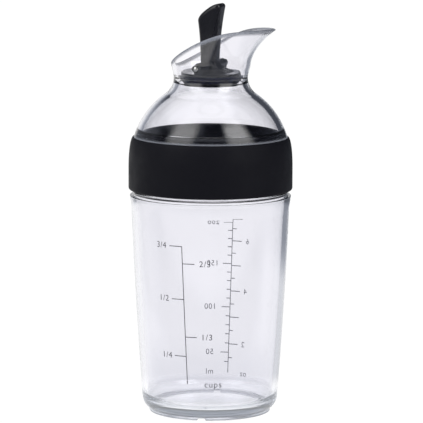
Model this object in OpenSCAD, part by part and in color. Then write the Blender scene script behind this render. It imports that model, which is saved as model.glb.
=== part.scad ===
// Salad dressing shaker: a clear tapered cup, a screw lid with a clear dome and pouring spout,
// and a thumb lever that swings a round stopper out of the spout's neck.
// The origin is the middle of the foot. +Z is up, and +X is the way the spout pours.

/* [Cup] */
// Radius of the cup just above its bottom corner
base_r = 28.95; // [27:0.05:31]
// How far the ring that the cup stands on lies inside that radius
foot_inset = 2.95; // [2.5:0.05:4]
// Width of that ring
foot_ring_w = 3; // [2:0.25:5]
// Height of the ring before the rounded corner starts
foot_h = 1.3; // [1:0.1:2]
// Depth of the hollow inside the ring
foot_hollow_h = 1.2; // [0.6:0.1:1.6]
// Rounding of the ring's edges
foot_edge_r = 0.4; // [0.2:0.1:0.6]
// Radius of the bottom corner
base_corner_r = 5.9; // [5.5:0.1:7]
// How far the corner's arc is cut short where it meets the ring
corner_cut = 0.7; // [0.5:0.1:0.9]
// Radius of the cup where its top band starts
cup_top_r = 33.75; // [31:0.05:37]
// Height of the cup up to its top band
cup_h = 88; // [80:1:110]
// Height above the start of the top band at which the inside starts to draw in to the neck
shoulder_start = 3.5; // [2:0.25:4]
// Height above the ledge at which the inside has drawn in to the neck
shoulder_end = 2.5; // [1.5:0.25:4]
// How far the side bows outwards at half its height
cup_bow = 0.39; // [0:0.01:0.8]
// Thickness of the cup's side
cup_wall = 2.5; // [2:0.1:3]
// Thickness of the cup's floor
floor_t = 3.3; // [2.5:0.1:5]
// Radius of the corner inside the cup
floor_corner_r = 4.5; // [3:0.5:6]
// Height of the top band, which widens a little
band_h = 5.2; // [4:0.1:7]
// How much wider the top band's upper edge is than its start
band_flare = 0.7; // [0.45:0.05:1.1]
// Bevel on that edge
band_edge = 0.3; // [0.2:0.1:0.5]
// Step from that edge in to the ledge between the top band and the neck
ledge_inset = 1.25; // [1:0.05:1.6]
// Height of that ledge
ledge_h = 1.7; // [1.2:0.1:1.8]
// Bevel on the ledge's edge
ledge_edge = 0.4; // [0.2:0.1:0.6]
// Fillet between the ledge and the neck
neck_root = 1; // [0.6:0.1:1.2]
// Number of drain notches in the standing ring
drain_count = 2; // [1:1:4]
// Width of a drain notch
drain_w = 3.4; // [2:0.1:5]
// Depth of a drain notch
drain_h = 1; // [0.5:0.1:1.2]
// Direction of the first drain notch
drain_angle = -74; // [-180:1:180]

/* [Neck and thread] */
// Step from the ledge in to the neck, between the threads
neck_inset = 2.3; // [2:0.05:2.8]
// Wall of the neck
neck_wall = 2.5; // [2:0.1:2.8]
// Height of the neck above the ledge
neck_h = 13.6; // [13:0.1:16]
// Rounding of the neck's rim
rim_round = 0.8; // [0.3:0.1:1]
// Height that one turn of the thread climbs
thread_lead = 5; // [4.8:0.1:6]
// Height of the thread's start above the fillet at the neck's root
thread_start_h = 1.7; // [1.5:0.1:2]
// Turns of thread on the neck
thread_turns = 1.25; // [1:0.05:1.4]
// Turns of thread inside the lid
lid_thread_turns = 1; // [0.8:0.05:1.1]
// How far a thread stands out
thread_d = 1.1; // [0.8:0.05:1.2]
// Width of a thread at its root
thread_root_w = 2.2; // [1.6:0.1:2.3]
// Width of a thread at its crest
thread_crest_w = 1; // [0.6:0.1:1.4]
// Room between one thread's crest and the wall that it faces
thread_gap = 0.3; // [0.25:0.05:0.4]

/* [Collar] */
// Thickness of the hard ring's wall, outside its thread
core_wall = 1.35; // [1.2:0.05:1.6]
// Room between the cup's top band and the grip
collar_gap = 2.4; // [2.2:0.1:3]
// Height of the grip
collar_h = 22.5; // [22:0.1:26]
// Thickness of the soft grip
grip_t = 1.35; // [1.2:0.05:1.5]
// How far the grip wraps in under the hard ring
grip_lip_w = 0.7; // [0.4:0.1:0.8]
// Thickness of that wrapped lip
grip_lip_h = 0.6; // [0.4:0.1:0.8]
// Rounding of the grip's bottom edge
grip_bottom_r = 1; // [0.5:0.1:1.2]
// How far the grip's crown curves in
crown_drop = 2; // [1.4:0.1:2.2]
// Height of the curved crown
crown_h = 12.6; // [8:0.1:14]
// Bevel that leads the neck into the hard ring
core_lead_in = 0.6; // [0.3:0.1:0.8]
// Thickness of the hard ring's ceiling, over the gasket
ceiling_t = 2; // [1.6:0.1:3]
// Step inside the dome that the upstand fits behind
upstand_step = 0.38; // [0.2:0.02:0.8]
// Gap between the upstand's side and the dome
upstand_gap = 0.1; // [0.05:0.05:0.2]
// Gap between the upstand's top and the dome
upstand_top_gap = 0.2; // [0.1:0.1:0.4]
// Thickness of the upstand
upstand_t = 1.6; // [1.2:0.1:2]
// Height of the upstand above the seam between grip and dome
upstand_h = 2.6; // [1.5:0.1:3.5]

/* [Rim gasket] */
// Thickness of the gasket
gasket_t = 2; // [1.5:0.1:2.2]
// Width of the gasket past the neck's inner wall
gasket_overlap = 0.5; // [0.2:0.1:0.6]
// How far the gasket reaches outside the neck
gasket_reach = 0.8; // [0.3:0.1:1]
// Bevel on the gasket's edges
gasket_bevel = 0.3; // [0.1:0.1:0.5]

/* [Dome] */
// How far the dome's edge lies inside the grip's edge at the seam
dome_step = 0.2; // [0.1:0.05:0.4]
// Depth of the dome's centre below the seam
dome_sink = 9.7; // [9.5:0.1:10.5]
// Thickness of the dome
dome_wall = 2.6; // [2:0.1:2.8]
// How far the skirt that drops inside the grip lies inside the hard ring's side
skirt_inset = 1.35; // [1.25:0.05:1.8]
// Outer radius of the spout's waist
waist_r = 15.8; // [15.7:0.05:16.6]
// Radius of the hollow curve from the dome into the waist
waist_curve_r = 8.5; // [7:0.25:11]

/* [Spout] */
// Thickness of the waist round the bore that the stopper closes
bore_wall = 1.8; // [1.7:0.05:1.9]
// Height of the bore's lower edge below the waist
bore_drop = 2.4; // [2:0.1:3]
// Distance below the pin's hole at which the spout's slanted walls start
join_drop = 0.2; // [0.1:0.1:0.4]
// Wall of the spout above the bore
spout_wall = 1.7; // [1.5:0.05:1.9]
// How far the back and sides of the spout flare out
side_flare = 1.2; // [0.9:0.05:1.4]
// Height over which they flare
side_flare_h = 6.2; // [5:0.1:7]
// Height of the spout's back edge above the waist
back_rim_h = 5.55; // [5.3:0.05:7]
// Height of the pouring tip above the spout's back edge
tip_rise = 16.1; // [12:0.1:18]
// How far the pouring tip reaches past the back of the spout
tip_reach = 12; // [8:0.1:14]
// Height above the waist at which the lip starts to reach forward
lip_start_h = 5.1; // [4:0.1:6]
// How sharply the lip curves forward
lip_power = 1.75; // [1.3:0.05:2]
// How narrow the lip is at its foot
lip_narrow_low = 4.5; // [2:0.25:5]
// How narrow the lip is at its tip
lip_narrow_high = 10; // [4:0.25:11]
// How far the spout's edge bows up between its back and its tip
rim_bow = 0.46; // [0.2:0.01:0.6]
// Height of the rounding along the spout's edge
rim_crest = 0.6; // [0.3:0.05:0.8]

/* [Pin] */
// Radius of the steel pin
pin_r = 1.5; // [1:0.05:1.6]
// Height of the pin above the waist
pin_rise = 5; // [4.9:0.05:5.3]
// How far the pin's ends stay inside the spout's surface
pin_recess = 0.5; // [0.1:0.1:0.6]
// Bevel on the pin's ends
pin_bevel = 0.3; // [0.1:0.1:0.4]
// Running clearance of the lever on the pin, on the radius
pin_clearance = 0.05; // [0.02:0.01:0.1]
// Clearance of the pin in the spout, on the radius
pin_seat_gap = 0.02; // [0.01:0.01:0.05]

/* [Stopper] */
// Room between the bore and the hard plate above the seal
plate_gap = 1.3; // [1.2:0.1:2]
// Thickness of the plate
plate_t = 1.3; // [1:0.1:1.6]
// Depth of the plate's top below the pin
plate_drop = 2.4; // [2.3:0.1:2.6]
// Rounding of the plate's edge
plate_edge_r = 0.4; // [0.2:0.1:0.6]
// Depth of the groove that the seal is stretched into
groove_depth = 1.8; // [1.3:0.1:4]
// Height of that groove
groove_h = 3.3; // [3:0.1:3.4]
// Room between the bore and the lower flange
flange_gap = 1.7; // [1.6:0.1:2.4]
// Thickness of the lower flange
flange_t = 1.5; // [1:0.1:1.6]
// How much smaller the lower flange is at its bottom
flange_taper = 0.7; // [0.6:0.1:1.5]
// Gap between the seal's lip and the bore
lip_gap = 0.15; // [0.1:0.01:0.2]
// Thickness of the seal's lip
lip_t = 0.4; // [0.3:0.05:0.6]
// Height of the lip above the seal's foot
lip_rise = 2.35; // [2.2:0.05:2.5]
// Room between the bore and the seal's foot
seal_foot_gap = 1.9; // [1.6:0.1:2.5]
// Play between the seal and the groove
seal_play = 0.05; // [0.02:0.01:0.1]
// Room between the swinging lip and the wall above the bore
swing_gap = 0.12; // [0.1:0.01:0.2]

/* [Lever] */
// Radius of the lever's barrel round the pin
barrel_r = 2.2; // [2.1:0.05:2.35]
// Room between the bore's radius and each end of that barrel
barrel_gap = 1.5; // [1.4:0.1:6]
// Depth of the stem behind the pin
stem_back = 4.05; // [3:0.05:4.2]
// Depth of the stem ahead of the pin
stem_front = 3.4; // [3:0.05:4.5]
// Half the width of the stem
stem_half_w = 3.05; // [2.4:0.05:3.6]
// Half the width of the thumb pad
pad_half_w = 4.25; // [2.6:0.05:5]
// How much further the thumb pad reaches back than the stem
pad_back = 1.05; // [0:0.05:1.5]
// How much further the thumb pad reaches ahead than the stem
pad_front = 2.3; // [0:0.1:3]
// How late the stem swells into the pad
pad_power = 1.8; // [1:0.1:2.4]
// Height of the thumb pad's middle above the pin
lever_h = 24.7; // [20:0.1:30]
// Slope of the pad's top, from back to front
top_slope = 0.72; // [0.3:0.01:1]
// How far the pad's top bows down at its back edge
top_bow = 0.4; // [0:0.05:1.5]
// How far the pad's top bows down at its front edge
top_droop = 1.9; // [0:0.05:2.5]
// Rounding of the pad's top edge
pad_edge_r = 1.65; // [0.5:0.05:1.8]
// Squareness of the lever's section
lever_square = 4; // [2:0.1:5]
// Distance from the plate's edge to the front of the bell-shaped foot
foot_margin = 1.1; // [0.7:0.1:3]
// How far that foot reaches behind the stem
foot_back = 1.4; // [0:0.1:4]
// How far it reaches beside the stem
foot_side = 5.6; // [3:0.1:6]
// Height of the bell-shaped foot
foot_rise = 5.6; // [4:0.1:7]
// How sharply the foot curves into the stem
foot_power = 2.5; // [1.5:0.1:3.5]

/* [Hidden] */

ROUND = 96;
BAR = 48;
ARC_STEPS = 10;
EDGE_STEPS = 4;
FLOOR_STEPS = 6;
SIDE_STEPS = 10;
DOME_STEPS = 12;
NECK_STEPS = 6;
SPOUT_SEGMENTS = 64;
SPOUT_ROWS = 10;
LEVER_SEGMENTS = 32;
LEVER_ROWS = 20;
// How closely the lever's rows crowd towards its foot, and where the rows of its top lie
ROW_CROWDING = 1.3;
TOP_SHARES = [0.6, 0.25];
THREAD_SEGMENTS = 36;
THREAD_FADE = 4;
THREAD_SINK = 0.6;
WELD_DEPTH = 0.6;
WELD_INSET = 0.05;
SEAM = 0.05;
ROOT_SHARE = 1 / 6;
SLOPE_STEP = 0.1;
OVERCUT = 1;

// Radii, each from the one that it fits
foot_r = base_r - foot_inset;
band_r = cup_top_r + band_flare;
ledge_r = band_r - ledge_inset;
neck_r = ledge_r - neck_inset;
neck_in_r = neck_r - neck_wall;
core_in_r = neck_r + thread_d + thread_gap;
core_r = core_in_r + core_wall;
collar_r = core_r + grip_t;
gasket_r = neck_r + gasket_reach;
skirt_r = core_r - skirt_inset;
dome_r = sqrt(pow(collar_r - crown_drop - dome_step, 2) + pow(dome_sink, 2));
dome_in_r = dome_r - dome_wall;
bore_r = waist_r - bore_wall;
plate_r = bore_r - plate_gap;
flange_r = bore_r - flange_gap;
spool_r = flange_r - groove_depth;
seal_foot_r = bore_r - seal_foot_gap;
barrel_half = bore_r - barrel_gap;
foot_front = plate_r - foot_margin - stem_front;

// Heights, from the foot up
band_top_z = cup_h + band_h;
neck_z = band_top_z + ledge_h;
rim_z = neck_z + neck_h;
ceiling_z = rim_z + gasket_t;
collar_z = band_top_z + collar_gap;
core_z = collar_z + grip_lip_h;
shoulder_z = ceiling_z + ceiling_t;
seam_z = collar_z + collar_h;
upstand_z = seam_z + upstand_h;
dome_z = seam_z - dome_sink;
waist_z = dome_z + sqrt(pow(dome_r + waist_curve_r, 2) - pow(waist_r + waist_curve_r, 2));
waist_tilt = atan2(waist_z - dome_z, waist_r + waist_curve_r);
bore_z = waist_z - bore_drop;
pin_z = waist_z + pin_rise;
join_z = pin_z - pin_r - pin_seat_gap - join_drop;
back_rim_z = waist_z + back_rim_h;

// The upstand's seat in the dome, the stopper's heights and the room that its lip swings in
recess_z = upstand_z + upstand_top_gap;
recess_r = sqrt(pow(dome_in_r, 2) - pow(recess_z - dome_z, 2)) + upstand_step + upstand_gap;
upstand_r = recess_r - upstand_gap;
upstand_in_r = upstand_r - upstand_t;
plate_z = pin_z - plate_drop;
root_z = plate_z - plate_t / 2;
groove_z = plate_z - plate_t - groove_h;
lip_z = groove_z + seal_play + lip_rise;
lip_r = bore_r - lip_gap;
swing_r = sqrt(pow(lip_r, 2) + pow(pin_z - lip_z, 2)) + swing_gap;
relief_z = pin_z - sqrt(pow(swing_r, 2) - pow(bore_r, 2));

function arc(c, r, a0, a1, n = ARC_STEPS) =
    [for (i = [0:n]) let (a = a0 + (a1 - a0) * i / n) [c[0] + r * cos(a), c[1] + r * sin(a)]];
function unit(t) = min(1, max(0, t));
function ease(t) = let (u = unit(t)) u * u * (3 - 2 * u);

// Faces of a tube of quads, split into triangles, over rows of n points that each close on themselves
function skin(rows, n, first = 0) =
    [for (j = [0:rows - 2], i = [0:n - 1], k = [0, 1])
        let (a = first + j * n + i, b = first + j * n + (i + 1) % n)
        k == 0 ? [a, a + n, b] : [b, a + n, b + n]];

// The cup's side at a share t of its height, from the corner to the top band
function side_r(t) = base_r + (cup_top_r - base_r) * t + 4 * cup_bow * t * (1 - t);

module container() {
    corner_z = foot_h + base_corner_r - corner_cut;
    corner_c = [base_r - base_corner_r, corner_z];
    corner_a = -asin((corner_z - foot_h) / base_corner_r);
    floor_z = foot_hollow_h + floor_t;
    inner_base_r = side_r((floor_z + floor_corner_r - corner_z) / (cup_h - corner_z)) - cup_wall;
    shoulder_low_z = cup_h + shoulder_start;
    foot_in_r = foot_r - foot_ring_w;
    low_z = floor_z + floor_corner_r;
    inner_steps = [for (i = [1:SIDE_STEPS]) let (z = low_z + (shoulder_low_z - low_z) * i / SIDE_STEPS)
        [side_r((z - corner_z) / (cup_h - corner_z)) - cup_wall, z]];
    shoulder_in = [for (i = [1:ARC_STEPS]) let (t = i / ARC_STEPS, wide = inner_steps[SIDE_STEPS - 1][0])
        [wide + (neck_in_r - wide) * ease(t), shoulder_low_z + (neck_z + shoulder_end - shoulder_low_z) * t]];
    outline = concat(
        [[0, foot_hollow_h], [foot_in_r - foot_hollow_h, foot_hollow_h], [foot_in_r, foot_edge_r]],
        [[foot_in_r + foot_edge_r, 0], [foot_r - foot_edge_r, 0], [foot_r, foot_edge_r]],
        arc(corner_c, base_corner_r, corner_a, 0),
        [for (i = [1:SIDE_STEPS]) let (t = i / SIDE_STEPS) [side_r(t), corner_z + (cup_h - corner_z) * t]],
        [[band_r, band_top_z - band_edge], [band_r - band_edge, band_top_z], [ledge_r, band_top_z]],
        [[ledge_r, neck_z - ledge_edge], [ledge_r - ledge_edge, neck_z]],
        arc([neck_r + neck_root, neck_z + neck_root], neck_root, 270, 180, EDGE_STEPS),
        arc([neck_r - rim_round, rim_z - rim_round], rim_round, 0, 90, EDGE_STEPS),
        arc([neck_in_r + rim_round, rim_z - rim_round], rim_round, 90, 180, EDGE_STEPS),
        [for (i = [len(shoulder_in) - 1:-1:0]) shoulder_in[i]],
        [for (i = [len(inner_steps) - 1:-1:0]) inner_steps[i]],
        arc([inner_base_r - floor_corner_r, floor_z + floor_corner_r], floor_corner_r, 0, -90, FLOOR_STEPS),
        [[0, floor_z]]);
    color([0.9, 0.91, 0.94, 0.35]) {
        difference() {
            rotate_extrude($fn = ROUND) polygon(outline);
            for (i = [0:drain_count - 1])
                rotate(drain_angle + i * 360 / drain_count)
                    translate([foot_in_r - foot_ring_w, -drain_w / 2, -OVERCUT])
                        cube([3 * foot_ring_w, drain_w, drain_h + OVERCUT]);
        }
        thread(neck_r, thread_d, thread_z, 0, thread_turns);
    }
}

// Height of the neck's thread at angle 0, and the lid's thread half a lead below it
thread_z = neck_z + neck_root + thread_root_w / 2 + thread_start_h;
lid_thread_z = core_z + core_lead_in + thread_root_w / 2 + THREAD_SINK / 2;
lid_thread_start = (lid_thread_z - thread_z + thread_lead / 2) * 360 / thread_lead;

// A ridge of trapezium section that climbs round the axis. side is 1 outwards and -1 inwards,
// and the ridge grows out of the wall at both ends.
module thread(r, d, z, start, turns, side = 1) {
    n = round(turns * THREAD_SEGMENTS);
    rows = [for (i = [0:n])
        let (a = start + i * 360 / THREAD_SEGMENTS, up = z + thread_lead * a / 360)
        let (s = min(1, i / THREAD_FADE, (n - i) / THREAD_FADE))
        let (crest = r + side * (d * s - SEAM), root = r - side * THREAD_SINK)
        let (cw = thread_crest_w / 2, rw = thread_root_w / 2 + THREAD_SINK / 2)
        each [[root, -rw], [crest, -cw], [crest, cw], [root, rw]]
            * [[cos(a), sin(a), 0], [0, 0, 1]] + [for (k = [0:3]) [0, 0, up]]];
    last = n * 4;
    caps = [[0, 1, 2], [0, 2, 3], [last, last + 2, last + 1], [last, last + 3, last + 2]];
    faces = concat(skin(n + 1, 4), caps);
    polyhedron(rows, side < 0 ? faces : [for (f = faces) [f[0], f[2], f[1]]], convexity = 6);
}

module rim_gasket() {
    color("whitesmoke")
        rotate_extrude($fn = ROUND)
            polygon([[neck_in_r - gasket_overlap, rim_z + gasket_bevel],
                [neck_in_r - gasket_overlap + gasket_bevel, rim_z],
                [gasket_r - gasket_bevel, rim_z],
                [gasket_r, rim_z + gasket_bevel],
                [gasket_r, ceiling_z - gasket_bevel],
                [gasket_r - gasket_bevel, ceiling_z],
                [neck_in_r - gasket_overlap + gasket_bevel, ceiling_z],
                [neck_in_r - gasket_overlap, ceiling_z - gasket_bevel]]);
}

module collar_core() {
    outline = [[core_in_r + core_lead_in, core_z], [core_in_r, core_z + core_lead_in], [core_in_r, ceiling_z],
        [upstand_in_r, ceiling_z], [upstand_in_r, upstand_z], [upstand_r, upstand_z],
        [upstand_r, shoulder_z], [core_r, shoulder_z], [core_r, core_z]];
    color([0.07, 0.07, 0.08]) {
        rotate_extrude($fn = ROUND) polygon(outline);
        thread(core_in_r, core_in_r - neck_r - thread_gap, thread_z - thread_lead / 2,
            lid_thread_start, lid_thread_turns, -1);
    }
}

// The grip's outer radius a height h below the seam, on an elliptic crown
function crown_r(h) = collar_r - crown_drop * (1 - sqrt(1 - pow(unit(1 - h / crown_h), 2)));

module collar_grip() {
    lip_in_r = core_r - grip_lip_w;
    outline = concat(
        [[lip_in_r, core_z], [lip_in_r, collar_z]],
        arc([collar_r - grip_bottom_r, collar_z + grip_bottom_r], grip_bottom_r, -90, 0, EDGE_STEPS),
        [for (i = [0:ARC_STEPS]) let (h = crown_h * pow(1 - i / ARC_STEPS, 2)) [crown_r(h), seam_z - h]],
        [[skirt_r + SEAM, seam_z], [skirt_r + SEAM, shoulder_z], [core_r, shoulder_z], [core_r, core_z]]);
    color([0.12, 0.12, 0.13])
        rotate_extrude($fn = ROUND) polygon(outline);
}

// Outer radius of the spout's back and sides at height z
function round_r(z) = waist_r + side_flare * ease((z - waist_z) / side_flare_h);
// Height at which the spout's wall passes into its rounded edge, at angle a from the pouring direction
function wall_top(a) = let (c = (1 + cos(a)) / 2)
    back_rim_z + tip_rise * c * (1 + rim_bow * (1 - c)) - rim_crest;
// Outer radius of the spout at angle a and height z: the lip reaches forward as it climbs
function spout_r(a, z) =
    let (h = z - waist_z - lip_start_h, full = back_rim_h + tip_rise - rim_crest - lip_start_h)
    let (t = unit(h / full), narrow = lip_narrow_low + (lip_narrow_high - lip_narrow_low) * t)
    round_r(z) + tip_reach * pow(t, lip_power) * pow((1 + cos(a)) / 2, narrow);
// Inner radius: the wall is measured square to the slanting surface, and the swinging lip keeps its room
function spout_in_r(a, z) =
    let (e = SLOPE_STEP, slope = (spout_r(a, z + e) - spout_r(a, z - e)) / (2 * e))
    max(spout_r(a, z) - spout_wall * sqrt(1 + slope * slope), relief_r(z));
function relief_r(z) = z < relief_z ? bore_r
    : z > pin_z ? swing_r
    : sqrt(pow(swing_r, 2) - pow(pin_z - z, 2));

module spout_skin() {
    n = SPOUT_SEGMENTS;
    function row(v, inner) = [for (i = [0:n - 1])
        let (a = 360 * i / n, z = join_z + (wall_top(a) - join_z) * v)
        let (r = inner ? spout_in_r(a, z) : spout_r(a, z))
        let (inset = v == 0 ? (inner ? WELD_INSET : -WELD_INSET) : 0)
        [(r + inset) * cos(a), (r + inset) * sin(a), z]];
    // The root tapers into the top of the neck's wall
    function root(inner) = [for (i = [0:n - 1])
        let (a = 360 * i / n, z = join_z - WELD_DEPTH, r = (spout_r(a, z) + spout_in_r(a, z)) / 2)
        let (w = spout_wall * ROOT_SHARE * (inner ? -1 : 1))
        [(r + w) * cos(a), (r + w) * sin(a), z]];
    // The rounded edge is half an ellipse across the wall
    function edge(turn) = [for (i = [0:n - 1])
        let (a = 360 * i / n, z = wall_top(a), out = spout_r(a, z), in = spout_in_r(a, z))
        let (r = (out + in) / 2 + (out - in) / 2 * cos(turn))
        [r * cos(a), r * sin(a), z + rim_crest * sin(turn)]];
    rows = concat([root(false)], [for (j = [0:SPOUT_ROWS]) row(j / SPOUT_ROWS, false)],
        [for (k = [1:EDGE_STEPS - 1]) edge(180 * k / EDGE_STEPS)],
        [for (j = [SPOUT_ROWS:-1:0]) row(j / SPOUT_ROWS, true)], [root(true)], [root(false)]);
    m = len(rows);
    points = [for (j = [0:m - 2]) each rows[j]];
    polyhedron(points, [for (f = skin(m, n)) [for (p = f) p % len(points)]], convexity = 10);
}

module dome_spout() {
    inner_curve_r = waist_curve_r + dome_wall;
    curve_c = [waist_r + waist_curve_r, waist_z];
    outline = concat(
        [[recess_r, shoulder_z], [skirt_r, shoulder_z], [skirt_r, seam_z]],
        arc([0, dome_z], dome_r, asin(dome_sink / dome_r), waist_tilt, DOME_STEPS),
        arc(curve_c, waist_curve_r, 180 + waist_tilt, 180),
        [for (i = [1:NECK_STEPS]) let (z = waist_z + (join_z - waist_z) * i / NECK_STEPS) [round_r(z), z]],
        [for (i = [NECK_STEPS:-1:0]) let (z = relief_z + (join_z - relief_z) * i / NECK_STEPS)
            [spout_in_r(180, z), z]],
        [[bore_r, bore_z]],
        arc(curve_c, inner_curve_r, 180 + asin(bore_drop / inner_curve_r), 180 + waist_tilt),
        arc([0, dome_z], dome_in_r, waist_tilt, asin((recess_z - dome_z) / dome_in_r), DOME_STEPS),
        [[recess_r, recess_z]]);
    color([0.9, 0.91, 0.94, 0.35])
        difference() {
            union() {
                rotate_extrude($fn = ROUND) polygon(outline);
                spout_skin();
            }
            translate([0, 0, pin_z])
                rotate([90, 0, 0])
                    cylinder(h = 3 * waist_r, r = pin_r + pin_seat_gap, center = true, $fn = BAR);
        }
}

module pivot_pin() {
    half = round_r(pin_z) - pin_recess;
    color("silver")
        translate([0, half, pin_z])
            rotate([90, 0, 0])
                rotate_extrude($fn = BAR)
                    polygon([[0, 0], [pin_r - pin_bevel, 0], [pin_r, pin_bevel],
                        [pin_r, 2 * half - pin_bevel], [pin_r - pin_bevel, 2 * half], [0, 2 * half]]);
}

// A superellipse's point at angle t, as shares of its two half axes
function rounded(t) = [sign(cos(t)) * pow(abs(cos(t)), 2 / lever_square),
    sign(sin(t)) * pow(abs(sin(t)), 2 / lever_square)];
// Height of the pad's top above its middle, at a distance x ahead of the pin
function pad_top(x) = top_slope * x
    - (x < 0 ? top_bow * pow(x / (stem_back + pad_back), 2) : top_droop * pow(x / (stem_front + pad_front), 2));

// The stem and thumb pad, as one skin of rounded sections from the bell-shaped foot to the slanted top
module lever_skin() {
    n = LEVER_SEGMENTS;
    h = pin_z + lever_h - root_z;
    function bell(v) = pow(1 - unit(v * h / foot_rise), foot_power);
    function swell(v) = pow(unit((v * h - foot_rise) / (h - foot_rise)), pad_power);
    function front(v) = stem_front + pad_front * swell(v) + foot_front * bell(v);
    function back(v) = stem_back + pad_back * swell(v) + foot_back * bell(v);
    function half_w(v) = stem_half_w + (pad_half_w - stem_half_w) * swell(v) + foot_side * bell(v);
    // One section: v is its share of the height, inset draws it in for the rounded edge
    function section(v, inset, lift) = [for (i = [0:n - 1])
        let (p = rounded(360 * i / n), reach = (front(v) + back(v)) / 2, mid = (front(v) - back(v)) / 2)
        let (x = mid + (reach - inset) * p[0], y = (half_w(v) - inset * half_w(v) / reach) * p[1])
        [x, y, root_z + v * (h - pad_edge_r + pad_top(x)) + lift]];
    body_rows = [for (j = [0:LEVER_ROWS]) section(pow(j / LEVER_ROWS, ROW_CROWDING), 0, 0)];
    reach_top = (front(1) + back(1)) / 2;
    edge_rows = [for (j = [1:EDGE_STEPS]) let (a = 90 * j / EDGE_STEPS)
        section(1, pad_edge_r * (1 - cos(a)), pad_edge_r * sin(a))];
    top_rows = [for (s = TOP_SHARES)
        section(1, reach_top - (reach_top - pad_edge_r) * s, pad_edge_r)];
    rows = concat(body_rows, edge_rows, top_rows);
    middle = (front(1) - back(1)) / 2;
    points = concat([for (r = rows) each r],
        [[middle, 0, root_z + h + pad_top(middle)], [0, 0, root_z]]);
    top = len(rows) * n;
    first = (len(rows) - 1) * n;
    faces = concat(skin(len(rows), n),
        [for (i = [0:n - 1]) [first + i, top, first + (i + 1) % n]],
        [for (i = [0:n - 1]) [(i + 1) % n, top + 1, i]]);
    polyhedron(points, faces, convexity = 6);
}

module lever() {
    flange_z = groove_z - flange_t;
    spool = concat(
        [[0, flange_z], [flange_r - flange_taper, flange_z], [flange_r, groove_z], [spool_r, groove_z]],
        [[spool_r, plate_z - plate_t], [plate_r, plate_z - plate_t]],
        arc([plate_r - plate_edge_r, plate_z - plate_edge_r], plate_edge_r, 0, 90, EDGE_STEPS),
        [[0, plate_z]]);
    color([0.07, 0.07, 0.08])
        difference() {
            union() {
                rotate_extrude($fn = ROUND) polygon(spool);
                lever_skin();
                translate([0, 0, pin_z])
                    rotate([90, 0, 0])
                        cylinder(h = 2 * barrel_half, r = barrel_r, center = true, $fn = BAR);
                translate([-barrel_r, -barrel_half, root_z])
                    cube([2 * barrel_r, 2 * barrel_half, pin_z - root_z]);
            }
            translate([0, 0, pin_z])
                rotate([90, 0, 0])
                    cylinder(h = 3 * barrel_half, r = pin_r + pin_clearance, center = true, $fn = BAR);
        }
}

module stopper_seal() {
    low = groove_z + seal_play;
    high = plate_z - plate_t - seal_play;
    color([0.08, 0.1, 0.16])
        rotate_extrude($fn = ROUND)
            polygon([[spool_r + seal_play, low], [seal_foot_r, low], [lip_r, low + lip_rise],
                [lip_r, low + lip_rise + lip_t], [seal_foot_r, high], [spool_r + seal_play, high]]);
}

container();
rim_gasket();
collar_core();
collar_grip();
dome_spout();
pivot_pin();
lever();
stopper_seal();
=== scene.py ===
"""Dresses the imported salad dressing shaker: clear copolyester cup and domed pouring spout, a soft
black grip on a glossy black ring, a thumb lever on a steel pin, and a dark silicone seal.
Lengths in the tables below are millimetres and heights are above the foot; meshes are written in
metres.
"""

import math

import bpy
import numpy as np
from mathutils import Matrix, Vector


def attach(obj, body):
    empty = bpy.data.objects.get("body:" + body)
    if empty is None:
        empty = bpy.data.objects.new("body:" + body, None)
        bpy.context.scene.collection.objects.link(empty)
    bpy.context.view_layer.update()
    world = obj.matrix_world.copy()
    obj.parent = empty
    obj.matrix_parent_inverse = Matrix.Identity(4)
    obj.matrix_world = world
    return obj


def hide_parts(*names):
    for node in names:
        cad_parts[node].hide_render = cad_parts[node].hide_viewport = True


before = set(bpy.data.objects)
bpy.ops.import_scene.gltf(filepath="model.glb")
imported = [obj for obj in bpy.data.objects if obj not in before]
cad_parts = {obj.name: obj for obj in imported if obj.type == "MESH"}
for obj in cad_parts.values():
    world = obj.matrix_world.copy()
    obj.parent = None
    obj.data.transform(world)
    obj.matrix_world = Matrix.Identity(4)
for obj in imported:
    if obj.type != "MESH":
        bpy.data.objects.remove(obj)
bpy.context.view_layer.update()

MM = 0.001

# ---------------------------------------------------------------- sizes, as in the part's source
# Cup: foot and side.
BASE_R, FOOT_INSET, FOOT_RING_W, FOOT_H, HOLLOW_H = 28.95, 2.95, 3.0, 1.3, 1.2
CORNER_R, CORNER_CUT, TOP_R, CUP_H, BOW = 5.9, 0.7, 33.75, 88.0, 0.39
CUP_WALL, FLOOR_T, FLOOR_CORNER_R = 2.5, 3.3, 4.5
DRAIN_W, DRAIN_H, DRAIN_ANGLES = 3.4, 1.0, (-74.0, 106.0)
# Cup: top band, neck and thread.
BAND_H, BAND_FLARE, LEDGE_INSET, LEDGE_H = 5.2, 0.7, 1.25, 1.7
NECK_INSET, NECK_WALL, NECK_H, NECK_ROOT, RIM_ROUND = 2.3, 2.5, 13.6, 1.0, 0.8
THREAD_LEAD, THREAD_TURNS, LID_TURNS, THREAD_D = 5.0, 1.25, 1.0, 1.1
THREAD_ROOT, THREAD_CREST, THREAD_GAP, THREAD_START_H = 2.2, 1.0, 0.3, 1.7
# Hard ring, soft grip and gasket.
CORE_WALL, COLLAR_GAP, COLLAR_H, GRIP_T = 1.35, 2.4, 22.5, 1.35
GRIP_LIP_W, GRIP_LIP_H, GRIP_BOTTOM_R = 0.7, 0.6, 1.0
CROWN_DROP, CROWN_H, CEILING_T, LEAD_IN = 2.0, 12.6, 2.0, 0.6
UPSTAND_STEP, UPSTAND_GAP, UPSTAND_TOP_GAP, UPSTAND_T, UPSTAND_H = 0.38, 0.1, 0.2, 1.6, 2.6
GASKET_T, GASKET_OVERLAP, GASKET_REACH = 2.0, 0.5, 0.8
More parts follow.
